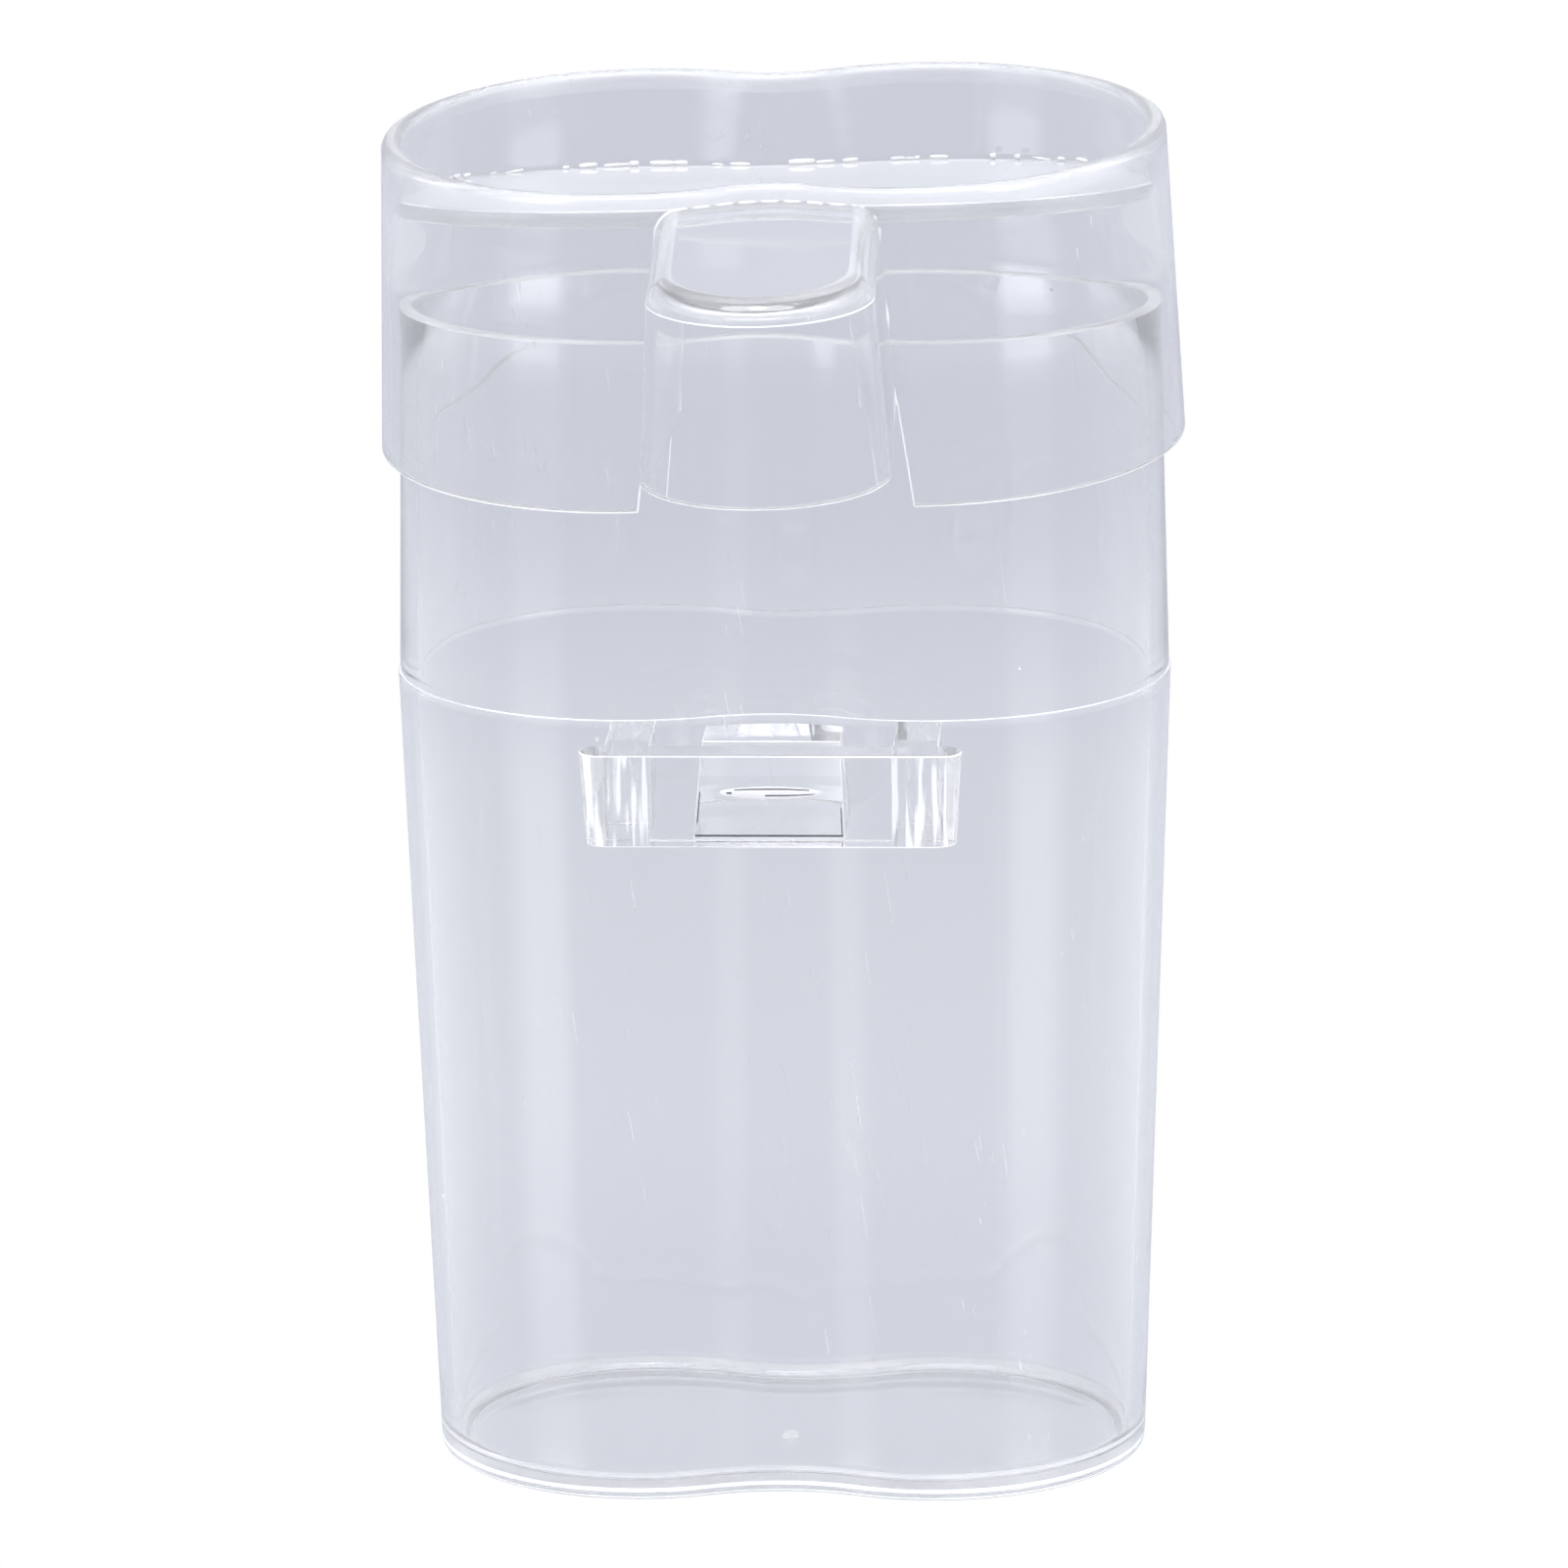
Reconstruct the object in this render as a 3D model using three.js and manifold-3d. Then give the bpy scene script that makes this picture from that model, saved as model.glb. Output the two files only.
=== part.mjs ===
// Clear moulded container with a figure-of-eight plan and a loose push-on cap that carries a spout hood.
// Millimetres, +Z up. Origin: middle of the vessel's flat base. The hood and the bracket face -Y.

import * as THREE from 'three';
import { mergeVertices } from 'three/addons/utils/BufferGeometryUtils.js';
import Module from 'manifold-3d';

const wasm = await Module();
wasm.setup();

// ---------------------------------------------------------------- driving dimensions

const gap = 0.3; // air left between neighbouring solids
const deg = Math.PI / 180;

// A plan outline is two lobe arcs of radius r centred at (+-c, 0), joined by hollow waist arcs
// that come to half-depth w on the Y axis.
const vesselPlan = { c: 13.78, r: 22.22, w: 19.68 }; // at the parting line, the widest level
const vesselHeight = 111.1;
const partingZ = 75.8;
const partingStep = 0.15;
const baseInset = 2.65; // how far the lower body draws in by the base
const neckInset = 0.92; // how far the neck has drawn in at the mouth
const vesselFloor = 1.5;
const floorWall = 1.5; // wall at the floor
const bellyInset = 1.9; // inner face at the parting line, from the outline there
const mouthInset = 2.2; // inner face at the mouth
const baseRound = 0.9;
const floorRound = 1.6;
const mouthRound = 0.3;

const bracketBottomZ = 67.3;
const bracketX = 0.4; // the plate and posts stand a little right of the vessel's middle
const plateLength = 34.6; // at the top
const plateDraft = 0.55; // how far each end draws in by the bottom
const plateThickness = 3.9;
const plateFrontY = -35.1;
const postInnerX = 11.0;
const postWidth = 4.1;

const wedgeX = 0.15;
const wedgeTop = { z: 75.0, halfWidth: 6.3, frontY: -26.4 };
const wedgeBottom = { z: bracketBottomZ, halfWidth: 6.9, frontY: -30.7 };

// Cap heights are measured from the seat level, where the cap rocks on the vessel's neck.
const seatZ = 105;
const capPitch = 4.1 * deg; // the loose cap sits nose down,
const capRoll = -1.05 * deg; // a little higher at its +X end,
const capYaw = 1.2 * deg; // and turned a little on the neck
const rimPlan = { c: 13.15, r: 22.9, w: 20.2 };
const skirtPlan = { c: 13.15, r: 24.1, w: 23.1 };
const rimZ = 21.9;
const skirtZ = -7.5;
const rimWall = 1.85;
const skirtWall = 1.0;
const rimRound = 0.5;
const shoulderLowZ = 8.5; // the sleeve's wall thickens between these levels
const shoulderHighZ = 17;

const topPlateSlope = 10.1 * deg; // falls towards the back
const topPlateThickness = 1.6;
const topPlateZ = 16.5; // upper face on the cap's axis
const slabSize = 100; // wider than the cap, to be trimmed by it

const hoodWall = 0.9;
const hoodRoofWall = 1.4;
const hoodBottom = { z: 2.25, halfWidth: 11.15, frontY: -55.7, bow: 9.8 };
const hoodTop = { z: 20.5, halfWidth: 9.95, frontY: -53.7, bow: 8.8 };
const hoodRound = 2.1;
const hoodInnerRound = 0.9;
const hoodBackY = -12; // the hood is made over-long and trimmed by the sleeve
const windowTopZ = 17.7;
const cutoutHalfWidth = 12.45; // half-width of the cut-out at the skirt's lower edge
const cutoutTopHalfWidth = 11.2; // and level with the hood's lower edge

const overlap = 5; // how far a cutting solid runs past what it cuts
const hoodOverlap = 1;
const frontDepth = { far: -40, near: -8 }; // how deep the window's cutter runs

const lobeSteps = 13;
const waistSteps = 4;
const hoodSteps = 20;
const endSteps = 10;
const roundSteps = 5;

// A small rounding drawn as two facets has its middle point this share of the radius from each face.
const midRound = 1 - Math.SQRT1_2;

// ---------------------------------------------------------------- outlines

// Anticlockwise outline of a plan, drawn in by inset; every outline has the same number of points.
function outline({ c, r, w }, inset = 0) {
  const lobe = r - inset;
  const waist = w - inset;
  const hollow = (c * c + waist * waist - lobe * lobe) / (2 * (lobe - waist));
  const meet = Math.acos(c / (lobe + hollow)); // half-angle of the hollow arc, from the X axis
  const quarter = [];
  for (let i = 0; i <= lobeSteps; i++) {
    const a = ((Math.PI - meet) * i) / lobeSteps;
    quarter.push([c + lobe * Math.cos(a), lobe * Math.sin(a)]);
  }
  for (let i = 1; i <= waistSteps; i++) {
    const a = meet + ((Math.PI / 2 - meet) * i) / waistSteps;
    quarter.push([hollow * Math.cos(a), waist + hollow - hollow * Math.sin(a)]);
  }
  const upperLeft = quarter.slice(0, -1).reverse().map(([x, y]) => [-x, y]);
  const upper = quarter.concat(upperLeft);
  const lower = upper.slice(1, -1).reverse().map(([x, y]) => [x, -y]);
  return upper.concat(lower);
}

function blend(a, b, t) {
  return Object.fromEntries(Object.keys(a).map((k) => [k, a[k] + (b[k] - a[k]) * t]));
}

// Cap plan at height z above the seat level.
function capPlan(z) {
  return blend(skirtPlan, rimPlan, (z - skirtZ) / (rimZ - skirtZ));
}

// U-shaped hood plan with an elliptical front, anticlockwise, drawn in by inset.
function hoodOutline({ halfWidth, frontY, bow }, inset) {
  const half = halfWidth - inset;
  const front = frontY + inset;
  const centreY = front + bow;
  const points = [[half, hoodBackY], [-half, hoodBackY]];
  for (let i = 0; i <= hoodSteps; i++) {
    const a = Math.PI + (Math.PI * i) / hoodSteps;
    points.push([half * Math.cos(a), centreY + bow * Math.sin(a)]);
  }
  return points;
}

// ---------------------------------------------------------------- solids

function ring(points, z) {
  return points.map(([x, y]) => new THREE.Vector3(x, y, z));
}

// Skins a stack of rings with equal point counts. An open stack is closed by flat ends;
// a looped stack joins its last ring to its first and makes a tube wall.
function loft(rings, looped = false) {
  const count = rings[0].length;
  const index = [];
  const bands = looped ? rings.length : rings.length - 1;
  for (let k = 0; k < bands; k++) {
    const low = k * count;
    const high = ((k + 1) % rings.length) * count;
    for (let i = 0; i < count; i++) {
      const j = (i + 1) % count;
      index.push(low + i, low + j, high + j, low + i, high + j, high + i);
    }
  }
  if (!looped) {
    const last = (rings.length - 1) * count;
    const flat = (points) => points.map((p) => new THREE.Vector2(p.x, p.y));
    for (const [a, b, c] of THREE.ShapeUtils.triangulateShape(flat(rings[0]), [])) {
      index.push(c, b, a);
    }
    for (const [a, b, c] of THREE.ShapeUtils.triangulateShape(flat(rings[rings.length - 1]), [])) {
      index.push(last + a, last + b, last + c);
    }
  }
  const geometry = new THREE.BufferGeometry().setFromPoints(rings.flat());
  geometry.setIndex(index);
  return geometry;
}

function toSolid(geometry) {
  const bare = new THREE.BufferGeometry();
  bare.setAttribute('position', geometry.getAttribute('position'));
  bare.setIndex(geometry.getIndex());
  const merged = mergeVertices(bare, 1e-5);
  return new wasm.Manifold(new wasm.Mesh({
    numProp: 3,
    vertProperties: new Float32Array(merged.getAttribute('position').array),
    triVerts: new Uint32Array(merged.getIndex().array),
  }));
}

function toGeometry(solid) {
  const { vertProperties, triVerts } = solid.getMesh();
  const geometry = new THREE.BufferGeometry();
  geometry.setAttribute('position', new THREE.BufferAttribute(new Float32Array(vertProperties), 3));
  geometry.setIndex(new THREE.BufferAttribute(new Uint32Array(triVerts), 1));
  return geometry;
}

// Upright prism of a closed plan given as [x, y] points.
function prism(points, lowZ, highZ) {
  const shape = new THREE.Shape(points.map(([x, y]) => new THREE.Vector2(x, y)));
  const geometry = new THREE.ExtrudeGeometry(shape, { depth: highZ - lowZ, bevelEnabled: false });
  return geometry.translate(0, 0, lowZ);
}

// Prism of a front-view shape given as [x, z] points, running along Y.
function frontPrism(points, lowY, highY) {
  const geometry = prism(points, -highY, -lowY);
  return geometry.rotateX(Math.PI / 2);
}

function plastic(color) {
  return new THREE.MeshStandardMaterial({
    color,
    roughness: 0.08,
    metalness: 0,
    transparent: true,
    opacity: 0.4,
  });
}

function part(name, geometry, color) {
  const mesh = new THREE.Mesh(geometry, plastic(color));
  mesh.name = name;
  return mesh;
}

// ---------------------------------------------------------------- vessel

// How far the vessel's outer face is drawn in at height z: drafted both ways from the parting line.
function outerInset(z) {
  if (z <= partingZ) {
    return baseInset * (1 - z / partingZ);
  }
  return partingStep + ((neckInset - partingStep) * (z - partingZ)) / (vesselHeight - partingZ);
}

function vesselGeometry() {
  const at = (z, inset) => ring(outline(vesselPlan, inset), z);
  const roundZ = baseRound * midRound;
  return loft([
    at(0, baseInset + baseRound),
    at(roundZ, outerInset(roundZ) + baseRound * midRound),
    at(baseRound, outerInset(baseRound)),
    at(partingZ, 0),
    at(partingZ, partingStep),
    at(vesselHeight - mouthRound, outerInset(vesselHeight - mouthRound)),
    at(vesselHeight, neckInset + mouthRound),
    at(vesselHeight, mouthInset - mouthRound),
    at(vesselHeight - mouthRound, mouthInset),
    at(partingZ, bellyInset),
    at(vesselFloor + floorRound, baseInset + floorWall),
    at(vesselFloor + floorRound * midRound, baseInset + floorWall + floorRound * midRound),
    at(vesselFloor, baseInset + floorWall + floorRound),
  ]);
}

// The vessel's outer form grown by the standard gap, to trim what stands against it.
function vesselTrimmer() {
  const lowZ = bracketBottomZ - overlap;
  const low = ring(outline(vesselPlan, outerInset(lowZ) - gap), lowZ);
  const high = ring(outline(vesselPlan, -gap), partingZ);
  const above = ring(outline(vesselPlan, -gap), partingZ + overlap);
  return toSolid(loft([low, high, above]));
}

// ---------------------------------------------------------------- bracket on the vessel's front

const plateBackY = plateFrontY + plateThickness;

function bracketPlateGeometry() {
  const end = plateThickness / 2;
  const centreY = plateFrontY + end;
  const level = (z, length) => {
    const points = [];
    for (const side of [1, -1]) {
      const centreX = bracketX + side * (length / 2 - end);
      for (let i = 0; i <= endSteps; i++) {
        const a = Math.PI * (i / endSteps - 0.5);
        points.push([centreX + side * end * Math.cos(a), centreY + side * end * Math.sin(a)]);
      }
    }
    return ring(points, z);
  };
  return loft([level(bracketBottomZ, plateLength - 2 * plateDraft), level(partingZ, plateLength)]);
}

function bracketPostGeometry(side) {
  const inner = bracketX + side * postInnerX;
  const outer = bracketX + side * (postInnerX + postWidth);
  const left = Math.min(inner, outer);
  const right = Math.max(inner, outer);
  const front = plateBackY + gap;
  const post = prism([[left, front], [right, front], [right, 0], [left, 0]], bracketBottomZ, partingZ);
  return toGeometry(toSolid(post).subtract(vesselTrimmer()));
}

// Ramp between the vessel's waist and the plate: it comes forward towards its foot.
function wedgeGeometry() {
  const level = ({ z, halfWidth, frontY }) => {
    const left = wedgeX - halfWidth;
    const right = wedgeX + halfWidth;
    return ring([[left, frontY], [right, frontY], [right, 0], [left, 0]], z);
  };
  return toGeometry(toSolid(loft([level(wedgeBottom), level(wedgeTop)])).subtract(vesselTrimmer()));
}

// ---------------------------------------------------------------- cap

// Sleeve wall at height z: a thin skirt, a shoulder, and the thicker rim that holds the top plate.
function sleeveWall(z) {
  const t = THREE.MathUtils.clamp((z - shoulderLowZ) / (shoulderHighZ - shoulderLowZ), 0, 1);
  return THREE.MathUtils.lerp(skirtWall, rimWall, t);
}

function sleeveGeometry() {
  const outer = (z, inset = 0) => ring(outline(capPlan(z), inset), z);
  const inner = (z) => outer(z, sleeveWall(z));
  const tube = loft([
    outer(skirtZ),
    outer(rimZ - rimRound),
    outer(rimZ, rimRound),
    outer(rimZ, rimWall - rimRound),
    inner(rimZ - rimRound),
    inner(shoulderHighZ),
    inner(shoulderLowZ),
    inner(skirtZ),
  ], true);
  return toGeometry(toSolid(tube).subtract(windowSolid()));
}

// The window behind the hood, and the wider cut-out below it.
function windowSolid() {
  const sill = hoodBottom.z;
  const flare = (cutoutHalfWidth - cutoutTopHalfWidth) / (sill - skirtZ);
  const half = [
    [cutoutHalfWidth + flare * overlap, skirtZ - overlap],
    [cutoutTopHalfWidth, sill],
    [hoodBottom.halfWidth - hoodWall, sill],
    [hoodTop.halfWidth - hoodWall, windowTopZ],
  ];
  const mirrored = half.slice().reverse().map(([x, z]) => [-x, z]);
  return toSolid(frontPrism(half.concat(mirrored), frontDepth.far, frontDepth.near));
}

function hoodSolid(inset, floorZ, roofZ, round) {
  const at = (z, extra) => {
    const plan = blend(hoodBottom, hoodTop, (z - hoodBottom.z) / (hoodTop.z - hoodBottom.z));
    return ring(hoodOutline(plan, inset + extra), z);
  };
  const rings = [at(floorZ, 0)];
  for (let i = 0; i <= roundSteps; i++) {
    const a = ((Math.PI / 2) * i) / roundSteps;
    rings.push(at(roofZ - round * (1 - Math.sin(a)), round * (1 - Math.cos(a))));
  }
  return toSolid(loft(rings));
}

function hoodGeometry() {
  const shell = hoodSolid(0, hoodBottom.z, hoodTop.z, hoodRound);
  const inside = hoodSolid(hoodWall, hoodBottom.z - hoodOverlap, hoodTop.z - hoodRoofWall, hoodInnerRound);
  const sleeve = [skirtZ - overlap, skirtZ, rimZ, rimZ + overlap].map((z) => {
    return ring(outline(capPlan(z), -gap), z);
  });
  return toGeometry(shell.subtract(inside).subtract(toSolid(loft(sleeve))));
}

function topPlateGeometry() {
  const levels = [skirtZ, shoulderLowZ, shoulderHighZ, rimZ].map((z) => {
    return ring(outline(capPlan(z), sleeveWall(z) + gap), z);
  });
  const slab = new THREE.BoxGeometry(slabSize, slabSize, topPlateThickness);
  slab.translate(0, 0, -topPlateThickness / 2).rotateX(-topPlateSlope).translate(0, 0, topPlateZ);
  return toGeometry(toSolid(loft(levels)).intersect(toSolid(slab)));
}

// ---------------------------------------------------------------- assembly

const bodyTint = 0xd2d7e4;
const capTint = 0xdce0eb;

const vessel = new THREE.Group();
vessel.add(part('vessel', vesselGeometry(), bodyTint));
vessel.add(part('bracket_plate', bracketPlateGeometry(), bodyTint));
vessel.add(part('bracket_post_left', bracketPostGeometry(-1), bodyTint));
vessel.add(part('bracket_post_right', bracketPostGeometry(1), bodyTint));
vessel.add(part('wedge_catch', wedgeGeometry(), bodyTint));

const cap = new THREE.Group();
cap.position.set(0, 0, seatZ);
cap.rotation.set(capPitch, capRoll, capYaw, 'ZYX');
cap.add(part('cap_sleeve', sleeveGeometry(), capTint));
cap.add(part('cap_hood', hoodGeometry(), capTint));
cap.add(part('cap_top_plate', topPlateGeometry(), capTint));

const container = new THREE.Group();
container.add(vessel, cap);

export default container;
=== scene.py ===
"""Looks of the clear lidded container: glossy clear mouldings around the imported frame.

Metres, +Z up, front is -Y. Dimensions are named in millimetres and scaled by MM.
"""

import math
import random

import bpy
from mathutils import Matrix, Vector


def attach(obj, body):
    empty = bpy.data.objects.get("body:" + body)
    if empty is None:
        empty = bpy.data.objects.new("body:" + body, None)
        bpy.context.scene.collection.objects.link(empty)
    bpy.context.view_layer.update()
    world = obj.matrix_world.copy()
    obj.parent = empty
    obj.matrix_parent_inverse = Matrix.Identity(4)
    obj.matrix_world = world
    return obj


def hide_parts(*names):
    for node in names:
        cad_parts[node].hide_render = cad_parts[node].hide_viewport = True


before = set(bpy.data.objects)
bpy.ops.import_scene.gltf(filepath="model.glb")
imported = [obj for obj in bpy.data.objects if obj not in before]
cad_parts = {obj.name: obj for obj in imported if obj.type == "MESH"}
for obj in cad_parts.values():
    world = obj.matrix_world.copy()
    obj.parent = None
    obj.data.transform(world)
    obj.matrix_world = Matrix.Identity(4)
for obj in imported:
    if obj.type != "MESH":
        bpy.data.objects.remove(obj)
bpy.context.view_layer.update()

MM = 0.001
DEG = math.pi / 180

# ---------------------------------------------------------------- driving dimensions, millimetres

vessel_plan = {"c": 13.78, "r": 22.22, "w": 19.68}  # at the parting line
vessel_height = 111.1
parting_z = 75.8
parting_step = 0.15
base_inset = 2.65
neck_inset = 0.92
vessel_floor = 1.5
floor_wall = 1.5
belly_inset = 1.9
mouth_inset = 2.2
base_round = 0.9
floor_round = 1.6
mouth_round = 0.3
# The base's bright band and the frosted strip above it are painted: hazy bands that stand in for highlights.
base_line_z = 1.3  # top of the bright band round the base
base_fade = 1.0  # frosted strip above that band
gate_radius = 0.9
gate_height = 0.4
gate_y = -4.0
gate_crown = 0.75  # top radius as a share of the foot radius
flat_border = 0.3  # ring round the base's flat, so that the flat shades flat

bracket_bottom_z = 67.3
plate_length = 34.6
plate_draft = 0.55
bracket_x = 0.4
bracket_bevel = 0.1
flank_strip = (0.2, 0.3)  # shadow line, from the wedge's side edges
wedge_x = 0.15
crease_x = 0.2
crease_z = 71.1
crease_half = 4.7
crease_height = 1.0
crease_swell = 0.3
crease_gap = 0.05  # from the wedge's front to the crease's rim
plate_thickness = 3.9
plate_front_y = -35.1
plate_back_y = plate_front_y + plate_thickness
post_inner_x = 11.0
post_width = 4.1
wedge_top = {"z": 75.0, "half": 6.3, "front": -26.4}
wedge_bottom = {"z": bracket_bottom_z, "half": 6.9, "front": -30.7}

seat_z = 105
cap_pitch = 4.1 * DEG
cap_roll = -1.05 * DEG
cap_yaw = 1.2 * DEG
rim_plan = {"c": 13.15, "r": 22.9, "w": 20.2}
skirt_plan = {"c": 13.15, "r": 24.1, "w": 23.1}
rim_z = 21.9
skirt_z = -7.5
rim_wall = 1.85
skirt_wall = 1.0
rim_round = 0.8
shoulder_low_z = 6.5
shoulder_high_z = 19.0
sleeve_bevel = 0.18

plate_slope = 10.1 * DEG
top_plate_thickness = 1.6
top_plate_z = 16.5
top_plate_chamfer = 0.15

hood_wall = 0.9
hood_roof_wall = 1.4
hood_bottom = {"z": 2.25, "half": 11.15, "front": -55.7, "bow": 9.8}
hood_top = {"z": 20.5, "half": 9.95, "front": -53.7, "bow": 8.8}
hood_round = 2.1
hood_inner_round = 0.9
window_top_z = 17.7
cutout_half = 12.45
hood_bevel = 0.15
roof_border = 0.015  # width of the ring round the hood's flats, as a share of their size

weld_seed = 11
weld_half_length = 36  # length of outline with beads, each way from the middle of the back
weld_length = (0.5, 2.6)
weld_thickness = (0.2, 0.6)
weld_gap = (0.2, 5.0)  # least gap, and how much chance adds to it

seam = 0.03  # air drawn between mouldings that are joined


# ---------------------------------------------------------------- outlines


class Plan:
    """A figure-of-eight outline measured along its length, anticlockwise from the middle of its front."""

    def __init__(self, plan, inset=0.0):
        self.c = plan["c"]
        self.r = plan["r"] - inset
        self.w = plan["w"] - inset
        self.hollow = (self.c**2 + self.w**2 - self.r**2) / (2 * (self.r - self.w))
        self.meet = math.acos(self.c / (self.r + self.hollow))
        self.waist = self.hollow * (math.pi / 2 - self.meet)
        self.lobe = self.r * (math.pi - self.meet)
        self.quarter = self.waist + self.lobe
        self.length = 4 * self.quarter

    def right_front(self, s):
        """Point and outward normal at s on the quarter from the front middle to the right-hand end."""
        if s < self.waist:
            a = math.pi / 2 - s / self.hollow
            point = (self.hollow * math.cos(a), -(self.w + self.hollow) + self.hollow * math.sin(a))
            return point, (-math.cos(a), -math.sin(a))
        a = -(math.pi - self.meet) + (s - self.waist) / self.r
        normal = (math.cos(a), math.sin(a))
        return (self.c + self.r * normal[0], self.r * normal[1]), normal

    def at(self, s):
        s %= self.length
        turn = int(s // self.quarter)
        rest = s - turn * self.quarter
        if turn == 0:
            return self.right_front(rest)
        if turn == 1:
            (x, y), (nx, ny) = self.right_front(self.quarter - rest)
            return (x, -y), (nx, -ny)
        if turn == 2:
            (x, y), (nx, ny) = self.right_front(rest)
            return (-x, -y), (-nx, -ny)
        (x, y), (nx, ny) = self.right_front(self.quarter - rest)
        return (-x, y), (-nx, ny)

    def s_at_x(self, x):
        """Length along the outline to the front point at x, from 0 to a little past the lobe's middle."""
        meet_x = self.hollow * math.cos(self.meet)
        if x < meet_x:
            return self.hollow * math.asin(x / self.hollow)
        a = -math.acos((x - self.c) / self.r)
        return self.waist + (a + math.pi - self.meet) * self.r

    def front_y(self, x):
        return self.right_front(self.s_at_x(abs(x)))[0][1]

    def ring(self, z, count):
        return [(*self.at(self.length * i / count)[0], z) for i in range(count)]


def blend(a, b, t):
    return {k: a[k] + (b[k] - a[k]) * t for k in a}


def lerp(a, b, t):
    return a + (b - a) * t


def cap_plan(z):
    return blend(skirt_plan, rim_plan, (z - skirt_z) / (rim_z - skirt_z))


# ---------------------------------------------------------------- mesh helpers

# EDGE and RIM are hazy white finishes that partly stand in for painted highlights and light bands; DARK and
# the last slot are painted shade lines, near-black and grey.
CLEAR, EDGE, RIM, DARK, STREAK, PAINTED_SHADE = 0, 1, 2, 3, 4, 5  # material slots of every moulding


class Build:
    """Collects points in millimetres and faces, and makes a mesh object in metres."""

    def __init__(self):
        self.points = []
        self.faces = []
        self.paint = CLEAR
        self.paints = []

    def add(self, face):
        self.faces.append(tuple(face))
        self.paints.append(self.paint)

    def row(self, points):
        start = len(self.points)
        self.points.extend(points)
        return list(range(start, len(self.points)))

    def band(self, low, high, closed=False):
        count = len(low)
        for i in range(count if closed else count - 1):
            j = (i + 1) % count
            self.add((low[i], low[j], high[j], high[i]))

    def bands(self, rows, closed=False):
        for low, high in zip(rows, rows[1:]):
            self.band(low, high, closed)

    def fan(self, ring, centre, up=True):
        tip = self.row([centre])[0]
        for i in range(len(ring)):
            j = (i + 1) % len(ring)
            self.add((ring[i], ring[j], tip) if up else (ring[j], ring[i], tip))

    def piece(self, name, body, nodes, material, matrix=Matrix(), bevel=0.0, sharp=35):
        mesh = bpy.data.meshes.new(name)
        mesh.from_pydata([Vector(p) * MM for p in self.points], [], self.faces)
        mesh.polygons.foreach_set("material_index", self.paints)
        mesh.validate()
        mesh.transform(matrix)
        mesh.polygons.foreach_set("use_smooth", [True] * len(mesh.polygons))
        obj = bpy.data.objects.new(name, mesh)
        bpy.context.scene.collection.objects.link(obj)
        if bevel:
            mod = obj.modifiers.new("edge_rounding", "BEVEL")
            mod.width = bevel * MM
            mod.segments = 3
            mod.limit_method = "ANGLE"
            mod.angle_limit = sharp * DEG
            mod.harden_normals = True
            mod.use_clamp_overlap = False
            # Bevel faces take the hazy white edge finish, partly a painted highlight along the edges.
            mod.material = EDGE
        else:
            mesh.set_sharp_from_angle(angle=sharp * DEG)
        for finish in (material, haze_and_painted_highlight, frost_and_painted_light, shadow_line, streaked, painted_shade_line):
            mesh.materials.append(finish)  # in the order of CLEAR, EDGE, RIM, DARK, STREAK, PAINTED_SHADE
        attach(obj, body)
        if nodes:
            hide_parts(*nodes)
        return obj


def corner(centre, radius, start, end, steps):
    """Points of an arc in an (inset, z) profile; angles in degrees, 0 towards a larger inset."""
    points = []
    for i in range(steps + 1):
        a = lerp(start, end, i / steps) * DEG
        points.append((centre[0] + radius * math.cos(a), centre[1] + radius * math.sin(a)))
    return points


# ---------------------------------------------------------------- materials


class Graph:
    """Short calls for the nodes of one material or world."""

    def __init__(self, tree):
        self.tree = tree

    def node(self, kind, **settings):
        node = self.tree.nodes.new(kind)
        for key, value in settings.items():
            setattr(node, key, value)
        return node

    def feed(self, socket, value):
        if isinstance(value, bpy.types.NodeSocket):
            self.tree.links.new(value, socket)
        elif value is not None:
            socket.default_value = value

    def math(self, operation, *values):
        node = self.node("ShaderNodeMath", operation=operation)
        for socket, value in zip(node.inputs, values):
            self.feed(socket, value)
        return node.outputs[0]

    def add(self, *values):
        total = values[0]
        for value in values[1:]:
            total = self.math("ADD", total, value)
        return total

    def times(self, *values):
        product = values[0]
        for value in values[1:]:
            product = self.math("MULTIPLY", product, value)
        return product

    def step(self, value, low, high):
        """0 below low, 1 above high (or the other way round where low is above high), smooth between."""
        node = self.node("ShaderNodeMapRange", interpolation_type="SMOOTHSTEP")
        turned = low > high
        self.feed(node.inputs["Value"], value)
        node.inputs["From Min"].default_value = min(low, high)
        node.inputs["From Max"].default_value = max(low, high)
        node.inputs["To Min"].default_value = 1.0 if turned else 0.0
        node.inputs["To Max"].default_value = 0.0 if turned else 1.0
        return node.outputs[0]

    def place(self, scale=(1, 1, 1), rotation=(0, 0, 0), offset=(0, 0, 0)):
        """The piece's own coordinates in metres, turned and then scaled."""
        where = self.node("ShaderNodeTexCoord").outputs["Object"]
        turn = self.node("ShaderNodeMapping", vector_type="POINT")
        self.feed(turn.inputs["Vector"], where)
        turn.inputs["Rotation"].default_value = rotation
        turn.inputs["Location"].default_value = offset
        stretch = self.node("ShaderNodeMapping", vector_type="POINT")
        self.feed(stretch.inputs["Vector"], turn.outputs[0])
        stretch.inputs["Scale"].default_value = scale
        return stretch.outputs[0]

    def noise(self, vector, detail=2.0):
        node = self.node("ShaderNodeTexNoise")
        self.feed(node.inputs["Vector"], vector)
        node.inputs["Scale"].default_value = 1.0
        node.inputs["Detail"].default_value = detail
        return node.outputs[0]

    def scratches(self, width, length, angle, rarity):
        """Hairlines of about that width and length, leaning by angle in the XZ plane."""
        lines = self.noise(self.place((1 / width, 1 / width, 1 / length), (0, angle, 0)), 0.0)
        return self.step(lines, rarity, rarity + 0.04)


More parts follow.
